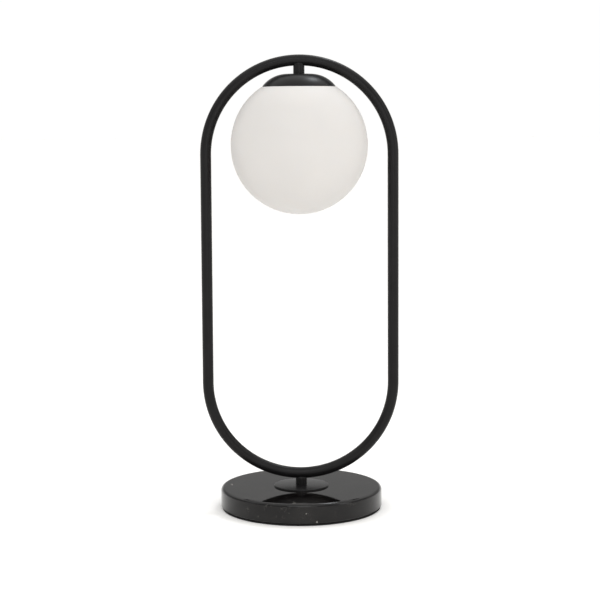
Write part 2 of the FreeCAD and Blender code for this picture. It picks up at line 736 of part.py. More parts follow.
def lead(side):
    """Lead from the terminal block, up the loop's right side, to one contact."""
    y = side * LEAD_Y
    turn_r = LEAD_TURN_R
    low_rise = math.sqrt((BEND_R + turn_r) ** 2 - turn_r ** 2)
    high_rise = math.sqrt((BEND_R - turn_r) ** 2 - turn_r ** 2)
    low_turn = Vector(turn_r, y, LOW_BEND_Z - low_rise)
    high_turn = Vector(turn_r, y, HIGH_BEND_Z + high_rise)
    low_angle = math.atan2(low_rise, -turn_r)
    high_angle = math.atan2(high_rise, turn_r)
    block_end = BLOCK_X + BLOCK_L / 2
    start = Vector(block_end - LEAD_BLOCK_GRIP, side * POLE_Y, POLE_Z)
    leaving = Vector(block_end + LEAD_BEND_R / 2, side * POLE_Y, POLE_Z)
    landing = Vector(leaving.x + LEAD_DROP_RUN, y, LEAD_RUN_Z)
    from_block = rounded_run(
        [start, leaving, landing, Vector(0, y, LEAD_RUN_Z), Vector(0, y, low_turn.z)],
        [LEAD_BEND_R] * 3,
    )
    through_loop = [
        arc_about(low_turn, turn_r, math.pi, low_angle),
        arc_about(Vector(0, y, LOW_BEND_Z), BEND_R, low_angle - math.pi, 0),
        line(Vector(BEND_R, y, LOW_BEND_Z), Vector(BEND_R, y, HIGH_BEND_Z)),
        arc_about(Vector(0, y, HIGH_BEND_Z), BEND_R, 0, high_angle),
        arc_about(high_turn, turn_r, high_angle, math.pi),
    ]
    spread = side * PIN_Y
    gap_middle = (UPPER_NIPPLE_BOTTOM + HOLDER_TOP) / 2
    half_spread = (UPPER_NIPPLE_BOTTOM - HOLDER_TOP) * LEAD_SPREAD_SHARE / 2
    to_contact = rounded_run(
        [
            Vector(0, y, high_turn.z),
            Vector(0, y, gap_middle + half_spread),
            Vector(0, spread, gap_middle - half_spread),
            Vector(0, spread, POCKET_TOP),
        ],
        [LEAD_BEND_R] * 2,
    )
    return wire_along(from_block + through_loop + to_contact, LEAD_D, start, Vector(1, 0, 0))


def lead_live():
    return lead(-1)


def lead_neutral():
    return lead(1)


# ------------------------------------------------------------------------ build

PIECES = (
    base_pad,
    base_slab,
    cord_grommet,
    foot_plate,
    base_washer,
    earth_tag,
    base_nut,
    lower_nipple,
    terminal_block,
    terminal_screws,
    lower_stem,
    frame_loop,
    upper_stem,
    cap,
    upper_nipple,
    cap_washer,
    cap_nut,
    globe_collar,
    collar_nut,
    holder_bracket,
    lampholder,
    socket_contacts,
    holder_screws,
    globe,
    neck_gasket,
    bulb_base,
    bulb_pins,
    bulb_envelope,
    led_board,
    lead_live,
    lead_neutral,
)


def main():
    os.makedirs("parts", exist_ok=True)
    for piece in PIECES:
        shape = piece()
        shape.exportStep(f"parts/{piece.__name__}.step")
        print(f"{piece.__name__}: {len(shape.Solids)} solid, {shape.Volume / 1000:.3f} cm3, valid {shape.isValid()}")


main()
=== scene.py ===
import logging
import math
from dataclasses import dataclass, field
from enum import Enum

import bpy
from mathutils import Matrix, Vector


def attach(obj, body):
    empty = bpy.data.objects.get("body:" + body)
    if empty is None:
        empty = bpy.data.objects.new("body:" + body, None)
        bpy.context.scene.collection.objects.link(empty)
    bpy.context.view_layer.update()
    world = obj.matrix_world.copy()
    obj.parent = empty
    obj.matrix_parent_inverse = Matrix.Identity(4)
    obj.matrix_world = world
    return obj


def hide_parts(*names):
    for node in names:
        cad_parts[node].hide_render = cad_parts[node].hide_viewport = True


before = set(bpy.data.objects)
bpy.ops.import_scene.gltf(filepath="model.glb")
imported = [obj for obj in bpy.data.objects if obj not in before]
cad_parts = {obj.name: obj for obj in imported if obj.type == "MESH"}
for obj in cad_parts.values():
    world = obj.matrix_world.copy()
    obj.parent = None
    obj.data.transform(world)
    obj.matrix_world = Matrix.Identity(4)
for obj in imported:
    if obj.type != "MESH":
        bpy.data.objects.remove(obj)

# Glass globe table lamp. Sizes are in millimetres, and the helpers turn them into metres. The lamp
# stands on Z = 0, its loop lies in the XZ plane, and the cord inlet is at the rear, towards +Y.

MM = 0.001
LOG = logging.getLogger("globe_lamp")

MERGE_FINE = 1e-6               # distances in metres under which corners become one
MERGE = 2e-6
MERGE_LOOP = 1e-5
ON_AXIS = 1e-6                  # radius in mm that counts as none
FLAT_ANGLE = 0.4                # faces of a node within this angle in degrees are one face
EDGE_SEGMENTS = 2               # divisions of a rounded edge
CUT_OVER = 1.0                  # length in mm by which a cutter stands out of what it cuts

NIPPLE_R = 4.95                 # over the crests of its thread
NIPPLE_BORE_R = 3.5
THREAD_PITCH = 1.0
THREAD_DEPTH = 0.55             # share of the pitch
THREAD_START = 1.6              # pitches that it starts below the lower end
THREAD_SPARE = 3                # turns more than the length has
THREAD_STEPS = 40
THREAD_SMOOTH = 28.0
BORE_STEPS = 48

Point = tuple[float, float]
Point3 = tuple[float, float, float]
Colour = tuple[float, float, float]
Piece = bpy.types.Object
Socket = bpy.types.NodeSocket


class Slot(Enum):
    """The record's material slots."""

    BLACK_STEEL = "black_steel"
    STONE = "stone"
    OPAL_GLASS = "opal_glass"
    PAD = "pad"
    BLACK_PLASTIC = "black_plastic"
    WHITE_PLASTIC = "white_plastic"
    ZINC_STEEL = "zinc_steel"
    BRASS = "brass"
    CERAMIC = "ceramic"
    SILICONE = "silicone"
    FROSTED_COVER = "frosted_cover"
    LED_BOARD = "led_board"
    LEAD_BROWN = "lead_brown"
    LEAD_BLUE = "lead_blue"


class Body(Enum):
    """The bodies that pieces ride on."""

    FRAME = "frame"
    GASKET = "gasket"
    GLOBE = "globe"
    BULB = "bulb"


# ---- modelling helpers


def deselect() -> None:
    """Leave edit mode and select nothing."""
    if bpy.context.object is not None and bpy.context.object.mode != "OBJECT":
        bpy.ops.object.mode_set(mode="OBJECT")
    bpy.ops.object.select_all(action="DESELECT")


def take(piece: Piece) -> None:
    """Make one object the only selected one, and the active one.

    Args:
        piece: the object to work on.
    """
    deselect()
    piece.select_set(True)
    bpy.context.view_layer.objects.active = piece


def settle(piece: Piece) -> None:
    """Bring the object's origin to the lamp's, with its place kept in its mesh.

    Args:
        piece: the object to settle.
    """
    take(piece)
    bpy.ops.object.transform_apply(location=True, rotation=True, scale=True)


def edit_all() -> None:
    """Open the active piece for editing, with all of it selected."""
    bpy.ops.object.mode_set(mode="EDIT")
    bpy.ops.mesh.select_all(action="SELECT")


def close_skin(distance: float) -> None:
    """Merge near corners of the piece being edited, face it outwards and leave it.

    Args:
        distance: distance in metres under which corners become one.
    """
    bpy.ops.mesh.select_all(action="SELECT")
    bpy.ops.mesh.remove_doubles(threshold=distance)
    bpy.ops.mesh.normals_make_consistent(inside=False)
    bpy.ops.object.mode_set(mode="OBJECT")


def arc(centre: Point, radius: float, start: float, end: float, steps: int) -> list[Point]:
    """Points along an arc of a turned outline.

    Args:
        centre: radius and height of the arc's centre.
        radius: the arc's radius.
        start: first angle in degrees, from outwards towards up.
        end: last angle in degrees.
        steps: number of divisions.

    Returns:
        The points from start to end, both included.
    """
    angles = [math.radians(start + (end - start) * k / steps) for k in range(steps + 1)]
    return [(centre[0] + radius * math.cos(a), centre[1] + radius * math.sin(a)) for a in angles]


def add_modifier(piece: Piece, kind: str, **settings: object) -> None:
    """Put a modifier on a piece and apply it.

    Args:
        piece: the piece.
        kind: the modifier's type.
        settings: its settings by name.
    """
    take(piece)
    modifier = piece.modifiers.new(kind.lower(), kind)
    for key, value in settings.items():
        setattr(modifier, key, value)
    bpy.ops.object.modifier_apply(modifier=modifier.name)


def drawn_line(name: str, start: Point, steps: list[Point3]) -> Piece:
    """Chain of edges for sweeping, left in edit mode.

    Args:
        name: the new piece's name.
        start: radius and height of its first corner in mm.
        steps: the way in metres from each corner to the next.

    Returns:
        The new piece.
    """
    deselect()
    bpy.ops.mesh.primitive_plane_add(size=MM, location=(start[0] * MM, 0, start[1] * MM))
    piece = bpy.context.object
    piece.name = piece.data.name = name
    bpy.ops.object.transform_apply(location=True)
    bpy.ops.object.mode_set(mode="EDIT")
    bpy.ops.mesh.select_mode(type="VERT")
    bpy.ops.mesh.select_all(action="SELECT")
    bpy.ops.mesh.merge(type="CENTER")
    for step in steps:
        bpy.ops.mesh.extrude_region_move(TRANSFORM_OT_translate={"value": step})
    return piece


def turned(name: str, outline: list[Point], steps: int = 128, sharp: float = 35.0) -> Piece:
    """Turn a closed outline about the lamp's axis.

    Args:
        name: the new piece's name.
        outline: radius and height of each corner, in order. It closes by itself unless both ends
            are on the axis.
        steps: divisions round the axis.
        sharp: edges over this angle in degrees stay sharp.

    Returns:
        The new piece.
    """
    first, last = outline[0], outline[-1]
    on_axis = abs(first[0]) < ON_AXIS and abs(last[0]) < ON_AXIS
    ways = zip(outline, outline[1:] if on_axis else outline[1:] + [first])
    piece = drawn_line(name, first, [((b[0] - a[0]) * MM, 0, (b[1] - a[1]) * MM) for a, b in ways])
    bpy.ops.mesh.select_all(action="SELECT")
    bpy.ops.mesh.spin(steps=steps, angle=math.tau, center=(0, 0, 0), axis=(0, 0, 1))
    close_skin(MERGE_FINE)
    bpy.ops.object.shade_smooth_by_angle(angle=math.radians(sharp))
    return piece


def from_node(node: str, name: str, edge: float = 0.0, sharp: float = 30.0) -> Piece:
    """Merged copy of a CAD node's mesh, its flat faces made whole and its sharp edges rounded.

    Args:
        node: the CAD node.
        name: the new piece's name.
        edge: width in mm of the rounding on the sharp edges, 0 for none.
        sharp: edges over this angle in degrees count as sharp.

    Returns:
        The new piece.
    """
    deselect()
    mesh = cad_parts[node].data.copy()
    mesh.materials.clear()
    piece = bpy.data.objects.new(name, mesh)
    mesh.name = name
    bpy.context.collection.objects.link(piece)
    take(piece)
    edit_all()
    bpy.ops.mesh.remove_doubles(threshold=MERGE)
    bpy.ops.mesh.dissolve_limited(angle_limit=math.radians(FLAT_ANGLE))
    bpy.ops.object.mode_set(mode="OBJECT")
    if mesh.has_custom_normals:
        bpy.ops.mesh.customdata_custom_splitnormals_clear()
    if edge > 0:
        add_modifier(
            piece,
            "BEVEL",
            width=edge * MM,
            segments=EDGE_SEGMENTS,
            limit_method="ANGLE",
            angle_limit=math.radians(sharp),
            use_clamp_overlap=True,
            harden_normals=False,
        )
    bpy.ops.object.shade_smooth_by_angle(angle=math.radians(sharp))
    add_modifier(piece, "WEIGHTED_NORMAL", keep_sharp=True)
    return piece


def box_piece(name: str, low: Point3, high: Point3) -> Piece:
    """Block between two corners, in mm, to be shaped further.

    Args:
        name: the piece's name.
        low: its lowest corner.
        high: its highest corner.

    Returns:
        The new block.
    """
    deselect()
    middle = tuple((a + b) / 2 * MM for a, b in zip(low, high))
    bpy.ops.mesh.primitive_cube_add(size=1.0, location=middle)
    piece = bpy.context.object
    piece.name = piece.data.name = name
    piece.scale = tuple((b - a) * MM for a, b in zip(low, high))
    settle(piece)
    return piece


def rod_piece(name: str, radius: float, start: Point3, end: Point3, sides: int) -> Piece:
    """Round rod between two points, in mm, to be shaped further.

    Args:
        name: the piece's name.
        radius: its radius in mm.
        start: centre of one end.
        end: centre of the other end.
        sides: divisions round it.

    Returns:
        The new rod.
    """
    deselect()
    along = Vector(end) - Vector(start)
    middle = (Vector(start) + Vector(end)) / 2 * MM
    bpy.ops.mesh.primitive_cylinder_add(
        vertices=sides,
        radius=radius * MM,
        depth=along.length * MM,
        location=middle,
        rotation=along.to_track_quat("Z", "Y").to_euler(),
    )
    piece = bpy.context.object
    piece.name = piece.data.name = name
    settle(piece)
    return piece


def carve(piece: Piece, cutter: Piece, keep_inside: bool = False) -> None:
    """Take a cutter's shape out of a piece, and the cutter away.

    Args:
        piece: the piece.
        cutter: the shape to take out.
        keep_inside: keep what is inside the cutter instead.
    """
    operation = "INTERSECT" if keep_inside else "DIFFERENCE"
    add_modifier(piece, "BOOLEAN", operation=operation, object=cutter, solver="EXACT")
    bpy.data.objects.remove(cutter)


def joined(name: str, pieces: list[Piece]) -> Piece:
    """Join pieces into one object.

    Args:
        name: the joined object's name.
        pieces: what is joined.

    Returns:
        The joined object.
    """
    deselect()
    for piece in pieces:
        piece.select_set(True)
    bpy.context.view_layer.objects.active = pieces[0]
    bpy.ops.object.join()
    whole = bpy.context.object
    whole.name = whole.data.name = name
    return whole


def threaded_tube(name: str, bottom: float, top: float) -> Piece:
    """Nipple on the lamp's axis: a hollow rod with a rolled thread all along it.

    Args:
        name: the piece's name.
        bottom: height of its lower end in mm.
        top: height of its upper end.

    Returns:
        The new piece.
    """
    turns = math.ceil((top - bottom) / THREAD_PITCH) + THREAD_SPARE
    depth = THREAD_DEPTH * THREAD_PITCH * MM
    quarter = THREAD_PITCH / 4 * MM
    flat, flank = 0.5 * quarter, 1.5 * quarter
    turn = [(0, 0, flat), (-depth, 0, flank), (0, 0, flat), (depth, 0, flank)]
    start = bottom - THREAD_START * THREAD_PITCH
    piece = drawn_line(name, (NIPPLE_R, start), turn * turns)
    bpy.ops.object.mode_set(mode="OBJECT")
    add_modifier(
        piece,
        "SCREW",
        angle=math.tau,
        screw_offset=THREAD_PITCH * MM,
        steps=THREAD_STEPS,
        render_steps=THREAD_STEPS,
        use_merge_vertices=True,
        merge_threshold=MERGE_FINE,
    )
    edit_all()
    bpy.ops.mesh.remove_doubles(threshold=MERGE)
    bpy.ops.mesh.fill_holes(sides=0)
    bpy.ops.mesh.select_all(action="SELECT")
    bpy.ops.mesh.normals_make_consistent(inside=False)
    bpy.ops.object.mode_set(mode="OBJECT")
    length = rod_piece("length", NIPPLE_R + CUT_OVER, (0, 0, bottom), (0, 0, top), BORE_STEPS)
    carve(piece, length, keep_inside=True)
    low, high = (0, 0, bottom - CUT_OVER), (0, 0, top + CUT_OVER)
    carve(piece, rod_piece("bore", NIPPLE_BORE_R, low, high, BORE_STEPS))
    take(piece)
    bpy.ops.object.shade_smooth_by_angle(angle=math.radians(THREAD_SMOOTH))
    return piece


def dress(
    piece: Piece,
    finishes: "Finishes | None",
    slot: Slot,
    body: Body = Body.FRAME,
    stands_for: tuple[str, ...] = (),
) -> Piece:
    """Give a piece its finish and its place among the bodies.

    Args:
        piece: the finished piece.
        finishes: the lamp's materials, or none where its faces have theirs already.
        slot: the record's slot that it takes its finish from.
        body: the body that it moves with.
        stands_for: the CAD nodes that it is shown for.

    Returns:
        The same piece.
    """
    if finishes is not None:
        piece.data.materials.clear()
        piece.data.materials.append(finishes[slot])
    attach(piece, body.value)
    if stands_for:
        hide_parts(*stands_for)
    LOG.info("%s: %d faces on %s", piece.name, len(piece.data.polygons), body.value)
    return piece


# ---- finishes


class NodeBoard:
    """Small helper that lays out one material's nodes."""

    def __init__(self, name: str) -> None:
        """Start a material with a Principled shader and Object coordinates.

        Args:
            name: the material's name.
        """
        self.material = bpy.data.materials.new(name)
        self.material.use_nodes = True
        self.tree = self.material.node_tree
        self.tree.nodes.clear()
        self.output = self.tree.nodes.new("ShaderNodeOutputMaterial")
        self.shader = self.tree.nodes.new("ShaderNodeBsdfPrincipled")
        self.link(self.shader.outputs["BSDF"], self.output.inputs["Surface"])
        self.place = self.tree.nodes.new("ShaderNodeTexCoord").outputs["Object"]

    def link(self, source: Socket, target: Socket) -> None:
        """Join two sockets.

        Args:
            source: the output.
            target: the input.
        """
        self.tree.links.new(source, target)

    def noise(
        self,
        scale: float,
        detail: float = 2.0,
        roughness: float = 0.5,
        stretch: Vector | None = None,
    ) -> Socket:
        """Noise on the object's place.

        Args:
            scale: repeats per metre.
            detail: octaves.
            roughness: how strong the fine octaves are.
            stretch: scale of each axis first, where the pattern isn't even.

        Returns:
            The noise's factor socket.
        """
        node = self.tree.nodes.new("ShaderNodeTexNoise")
        node.inputs["Scale"].default_value = scale
        node.inputs["Detail"].default_value = detail
        node.inputs["Roughness"].default_value = roughness
        source = self.place
        if stretch is not None:
            mapping = self.tree.nodes.new("ShaderNodeMapping")
            mapping.inputs["Scale"].default_value = stretch
            self.link(self.place, mapping.inputs["Vector"])
            source = mapping.outputs["Vector"]
        self.link(source, node.inputs["Vector"])
        return node.outputs["Fac"]

    def ramp(self, source: Socket, stops: list[tuple[float, Colour]]) -> Socket:
        """Colour ramp.

        Args:
            source: the factor.
            stops: place and colour of each stop.

        Returns:
            The colour socket.
        """
        node = self.tree.nodes.new("ShaderNodeValToRGB")
        band = node.color_ramp
        while len(band.elements) < len(stops):
            band.elements.new(0.5)
        for element, (where, colour) in zip(band.elements, stops):
            element.position = where
            element.color = (*colour, 1.0)
        self.link(source, node.inputs["Fac"])
        return node.outputs["Color"]

    def spread(
        self,
        source: Socket,
        low: float,
        high: float,
        out_low: float = 0.0,
        out_high: float = 1.0,
    ) -> Socket:
        """Map a value from one range to another.

        Args:
            source: the value.
            low: start of its range.
            high: end of its range.
            out_low: result at the start.
            out_high: result at the end.

        Returns:
            The mapped value's socket.
        """
        node = self.tree.nodes.new("ShaderNodeMapRange")
        keys = ("From Min", "From Max", "To Min", "To Max")
        for key, value in zip(keys, (low, high, out_low, out_high)):
            node.inputs[key].default_value = value
        self.link(source, node.inputs["Value"])
        return node.outputs["Result"]

    def mix(self, factor: Socket, first: object, second: object) -> Socket:
        """Mix two colours.

        Args:
            factor: how much of the second colour.
            first: colour or colour socket.
            second: colour or colour socket.

        Returns:
            The mixed colour's socket.
        """
        node = self.tree.nodes.new("ShaderNodeMix")
        node.data_type = "RGBA"
        self.link(factor, node.inputs["Factor"])
        for socket, colour in ((node.inputs[6], first), (node.inputs[7], second)):
            if isinstance(colour, tuple):
                socket.default_value = (*colour, 1.0)
            else:
                self.link(colour, socket)
        return node.outputs[2]

    def bump(self, height: Socket, strength: float, depth: float) -> None:
        """Raise the surface by a height field.

        Args:
            height: the height socket.
            strength: 0 to 1.
            depth: depth in mm.
        """
        node = self.tree.nodes.new("ShaderNodeBump")
        node.inputs["Strength"].default_value = strength
        node.inputs["Distance"].default_value = depth * MM
        self.link(height, node.inputs["Height"])
        self.link(node.outputs["Normal"], self.shader.inputs["Normal"])

    def set(self, **values: object) -> None:
        """Set constants on the shader's own sockets.

        Args:
            values: each constant by its socket's name, with underscores for spaces.
        """
        for key, value in values.items():
            self.shader.inputs[key.replace("_", " ")].default_value = value

    def reckon(self, operation: str, first: object, second: object = 0.0) -> Socket:
        """Reckon with one or two values.

        Args:
            operation: the Math node's operation.
            first: value or value socket.
            second: value or value socket.

        Returns:
            The result's socket.
        """
        node = self.tree.nodes.new("ShaderNodeMath")
        node.operation = operation
        for socket, value in zip(node.inputs, (first, second)):
            if isinstance(value, float):
                socket.default_value = value
            else:
                self.link(value, socket)
        return node.outputs[0]

    def colour(self, source: Socket) -> None:
        """Take the base colour from a socket.

        Args:
            source: the colour socket.
        """
        self.link(source, self.shader.inputs["Base Color"])

    def roughness(self, source: Socket) -> None:
        """Take the roughness from a socket.

        Args:
            source: the value socket.
        """
        self.link(source, self.shader.inputs["Roughness"])


@dataclass(frozen=True)
class PowderCoat:
    """Fine matt black powder coat on steel."""

    name: str = "powder_coat_black"
    shade: Colour = (0.0070, 0.0066, 0.0068)
    worn: Colour = (0.0100, 0.0095, 0.0098)
    gloss_low: float = 0.28
    gloss_high: float = 0.38
    specular: float = 0.15
    clouds: float = 45.0            # repeats per metre of the worn places
    grain: float = 1500.0           # and of the grain
    grain_strength: float = 0.35
    depth: float = 0.05

    def build(self) -> bpy.types.Material:
        """Make the material.

        Returns:
            The material.
        """
        board = NodeBoard(self.name)
        worn = board.spread(board.noise(self.clouds, 3.0), 0.35, 0.7)
        board.colour(board.mix(worn, self.shade, self.worn))
        grain = board.noise(self.grain, 3.0, 0.6)
        board.roughness(board.spread(grain, 0.3, 0.7, self.gloss_low, self.gloss_high))
        board.bump(grain, self.grain_strength, self.depth)
        board.set(Specular_IOR_Level=self.specular)
        return board.material


@dataclass(frozen=True)
class PolishedMarble:
    """Polished black marble with grey clouds, a few thin veins and white flecks."""

    name: str = "marble_black"
    ground: Colour = (0.0030, 0.0026, 0.0026)
    cloud: Colour = (0.0100, 0.0090, 0.0083)
    vein: Colour = (0.10, 0.095, 0.085)
    fleck: Colour = (0.19, 0.18, 0.165)
    gloss: float = 0.04
    specular: float = 0.29
    vein_half_w: float = 0.0035     # half of a vein's width, on the scale of its noise
    flecks_large: Point3 = (110.0, 0.16, 0.13)      # cells per metre, share filled, reach
    flecks_small: Point3 = (230.0, 0.09, 0.17)

    def flecks(self, board: NodeBoard, scale: float, share: float, size: float) -> Socket:
        """Mask of small crystals, in a share of the cells of a cell pattern.

        Args:
            board: the material in hand.
            scale: cells per metre.
            share: share of the cells that hold a crystal.
            size: a crystal's reach as a share of its cell.

        Returns:
            The mask's socket.
        """
        nodes = board.tree.nodes
        turn = nodes.new("ShaderNodeMapping")
        turn.inputs["Rotation"].default_value = (0.5, 0.3, scale)
        turn.inputs["Scale"].default_value = (1.0, 0.42, 0.8)
        board.link(board.place, turn.inputs["Vector"])
        warp = nodes.new("ShaderNodeTexNoise")
        warp.inputs["Scale"].default_value = scale * 2.2
        warp.inputs["Detail"].default_value = 3.0
        board.link(board.place, warp.inputs["Vector"])
        moved = nodes.new("ShaderNodeMix")
        moved.data_type = "VECTOR"
        moved.inputs["Factor"].default_value = 0.006
        board.link(turn.outputs["Vector"], moved.inputs[4])
        board.link(warp.outputs["Color"], moved.inputs[5])
        cells = nodes.new("ShaderNodeTexVoronoi")
        cells.inputs["Scale"].default_value = scale
        board.link(moved.outputs[1], cells.inputs["Vector"])
        near = board.spread(cells.outputs["Distance"], size, size * 0.55)
        pick = nodes.new("ShaderNodeSeparateColor")
        board.link(cells.outputs["Color"], pick.inputs["Color"])
        chosen = board.spread(pick.outputs["Red"], 1.0 - share, 1.0 - share + 0.01)
        return board.reckon("MULTIPLY", near, chosen)

    def veins(self, board: NodeBoard) -> Socket:
        """Mask of thin broken veins.

        Args:
            board: the material in hand.

        Returns:
            The mask's socket.
        """
        ridge = board.noise(21.0, 5.0, 0.55, Vector((1.0, 2.1, 1.4)))
        distance = board.reckon("ABSOLUTE", board.reckon("SUBTRACT", ridge, 0.5))
        line = board.spread(distance, self.vein_half_w, 0.0)
        broken = board.spread(board.noise(60.0, 2.0), 0.5, 0.7, 0.0, 0.8)
        return board.reckon("MULTIPLY", line, broken)

    def build(self) -> bpy.types.Material:
        """Make the material.

        Returns:
            The material.
        """
        board = NodeBoard(self.name)
        clouds = board.spread(board.noise(38.0, 6.0, 0.6), 0.42, 0.75)
        body = board.mix(clouds, self.ground, self.cloud)
        body = board.mix(self.veins(board), body, self.vein)
        body = board.mix(self.flecks(board, *self.flecks_large), body, self.fleck)
        body = board.mix(self.flecks(board, *self.flecks_small), body, self.vein)
        board.colour(body)
        polish = board.noise(90.0, 4.0)
        board.roughness(board.spread(polish, 0.3, 0.7, self.gloss * 0.8, self.gloss * 1.3))
        board.bump(board.noise(420.0, 3.0), 0.05, 0.02)
        board.set(Specular_IOR_Level=self.specular, IOR=1.5)
        return board.material


@dataclass(frozen=True)
class OpalGlass:
    """Opal glass with a matt outside."""

    name: str = "glass_opal"
    shade: Colour = (0.625, 0.605, 0.585)
    thin: Colour = (0.640, 0.619, 0.598)
    gloss: float = 0.58
    specular: float = 0.35
    scatter: Colour = (1.0, 0.85, 0.7)      # reach of the scattered light by colour

    def build(self) -> bpy.types.Material:
        """Make the material.

        Returns:
            The material.
        """
        board = NodeBoard(self.name)
        drift = board.spread(board.noise(14.0, 2.0), 0.35, 0.65)
        board.colour(board.mix(drift, self.shade, self.thin))
        etch = board.noise(1600.0, 2.0, 0.6)
        board.roughness(board.spread(etch, 0.3, 0.7, self.gloss - 0.03, self.gloss + 0.05))
        board.bump(etch, 0.12, 0.02)
        board.set(Specular_IOR_Level=self.specular, IOR=1.5, Subsurface_Radius=self.scatter)
        board.set(Subsurface_Weight=0.25, Subsurface_Scale=0.006)
        return board.material


@dataclass(frozen=True)
class Moulded:
    """Moulded plastic, rubber or ceramic with a fine skin."""

    name: str
    shade: Colour
    gloss: float = 0.5
    grain: float = 900.0
    depth: float = 0.03
    specular: float = 0.5
    drift: float = 0.12

    def build(self) -> bpy.types.Material:
        """Make the material.

        Returns:
            The material.
        """
        board = NodeBoard(self.name)
        darker = tuple(part * (1.0 - self.drift) for part in self.shade)
        clouds = board.spread(board.noise(60.0, 3.0), 0.3, 0.7)
        board.colour(board.mix(clouds, darker, self.shade))
        skin = board.noise(self.grain, 3.0, 0.6)
        board.roughness(board.spread(skin, 0.3, 0.7, self.gloss - 0.06, self.gloss + 0.06))
        board.bump(skin, 0.25, self.depth)
        board.set(Specular_IOR_Level=self.specular)
        return board.material


@dataclass(frozen=True)
class PlatedMetal:
    """Plated or rolled metal with fine drawn lines."""

    name: str
    shade: Colour
    dull: Colour
    gloss: float = 0.3
    lines: float = 2400.0

    def build(self) -> bpy.types.Material:
        """Make the material.

        Returns:
            The material.
        """
        board = NodeBoard(self.name)
        stains = board.spread(board.noise(110.0, 4.0, 0.6), 0.35, 0.7)
        board.colour(board.mix(stains, self.shade, self.dull))
        drawn = board.noise(self.lines, 2.0, 0.5, Vector((1.0, 1.0, 0.06)))
        board.roughness(board.spread(drawn, 0.3, 0.7, self.gloss - 0.07, self.gloss + 0.1))
        board.bump(drawn, 0.12, 0.01)
        board.set(Metallic=1.0)
        return board.material


@dataclass(frozen=True)
class FrostedShell:
    """Frosted cover of the lamp's light source."""

    name: str = "cover_frosted"
    shade: Colour = (0.86, 0.86, 0.83)
    gloss: float = 0.35

    def build(self) -> bpy.types.Material:
        """Make the material.

        Returns:
            The material.
        """
        board = NodeBoard(self.name)
        frost = board.noise(1900.0, 2.0, 0.6)
        darker = tuple(0.96 * part for part in self.shade)
        board.colour(board.ramp(frost, [(0.2, darker), (0.8, self.shade)]))
        board.roughness(board.spread(frost, 0.3, 0.7, self.gloss - 0.04, self.gloss + 0.08))
        board.bump(frost, 0.15, 0.015)
        board.set(Transmission_Weight=0.45, IOR=1.45)
        board.set(Subsurface_Weight=0.3, Subsurface_Scale=0.003)
        return board.material


@dataclass
class Finishes:
    """The lamp's materials, each made once."""

    made: dict[Slot, bpy.types.Material] = field(default_factory=dict)
    phosphor: bpy.types.Material | None = None

    def build(self) -> "Finishes":
        """Make every material.

        Returns:
            The same object, filled.
        """
        black, white, clear_white = (0.014, 0.014, 0.015), (0.78, 0.77, 0.73), (0.80, 0.80, 0.77)
        cream, milky, yellow = (0.80, 0.78, 0.72), (0.72, 0.71, 0.68), (0.86, 0.66, 0.10)
        brown, blue = (0.13, 0.052, 0.025), (0.02, 0.11, 0.36)
        recipes = {
            Slot.BLACK_STEEL: PowderCoat(),
            Slot.STONE: PolishedMarble(),
            Slot.OPAL_GLASS: OpalGlass(),
            Slot.PAD: Moulded("pad_foam", (0.012, 0.012, 0.012), 0.85, 700.0, 0.15, 0.2),
            Slot.BLACK_PLASTIC: Moulded("plastic_black", black, 0.5, 1100.0, 0.03, 0.4),
            Slot.WHITE_PLASTIC: Moulded("plastic_white", white, 0.38),
            Slot.ZINC_STEEL: PlatedMetal("steel_zinc", (0.62, 0.63, 0.62), (0.48, 0.47, 0.43)),
            Slot.BRASS: PlatedMetal("brass_plain", (0.76, 0.57, 0.26), (0.60, 0.42, 0.18), 0.26),
            Slot.CERAMIC: Moulded("ceramic_plain", cream, 0.6, 1300.0, 0.05, 0.4, 0.06),
            Slot.SILICONE: Moulded("silicone_milky", milky, 0.4, 600.0, 0.02, 0.4, 0.05),
            Slot.FROSTED_COVER: FrostedShell(),
            Slot.LED_BOARD: Moulded("board_white", clear_white, 0.45, 500.0, 0.02, 0.5, 0.05),
            Slot.LEAD_BROWN: Moulded("lead_skin_brown", brown, 0.42, 800.0, 0.03, 0.5, 0.1),
            Slot.LEAD_BLUE: Moulded("lead_skin_blue", blue, 0.42, 800.0, 0.03, 0.5, 0.1),
        }
        self.made = {slot: recipe.build() for slot, recipe in recipes.items()}
        self.phosphor = Moulded("diode_phosphor", yellow, 0.35, 900.0, 0.02, 0.4, 0.08).build()
        return self

    def __getitem__(self, slot: Slot) -> bpy.types.Material:
        """The material of a slot.

        Args:
            slot: the record's slot.

        Returns:
            Its material.
        """
        return self.made[slot]


@dataclass(frozen=True)
class NodeCopy:
    """Piece that is a dressed copy of one CAD node."""

    node: str
    name: str
    slot: Slot
    edge: float = 0.0               # width in mm of the rounding on its sharp edges
    sharp: float = 30.0             # edges over this angle in degrees are sharp
    body: Body = Body.FRAME

    def build(self, finishes: Finishes) -> None:
        """Make and dress the piece.

        Args:
            finishes: the lamp's materials.
        """
        piece = from_node(self.node, self.name, self.edge, self.sharp)
        dress(piece, finishes, self.slot, self.body, (self.node,))


# ---- studio


@dataclass(frozen=True)
class Softbox:
    """Large soft light, square on to the point that it faces."""

    name: str
    place: Point3                   # its centre in mm
    size: Point                     # width and height in mm
    power: float                    # in watts
    colour: Colour
    aim: Point3 = (0, 0, 400)       # the point in mm that it faces

    def build(self) -> None:
        """Hang the light."""
        deselect()
        bpy.ops.object.light_add(type="AREA", location=tuple(v * MM for v in self.place))
        lamp = bpy.context.object
        lamp.name = self.name
        lamp.data.shape = "RECTANGLE"
        lamp.data.size = self.size[0] * MM
        lamp.data.size_y = self.size[1] * MM
        lamp.data.energy = self.power
        lamp.data.color = self.colour
        towards = (Vector(self.aim) - Vector(self.place)).normalized()
        lamp.rotation_euler = towards.to_track_quat("-Z", "Y").to_euler()


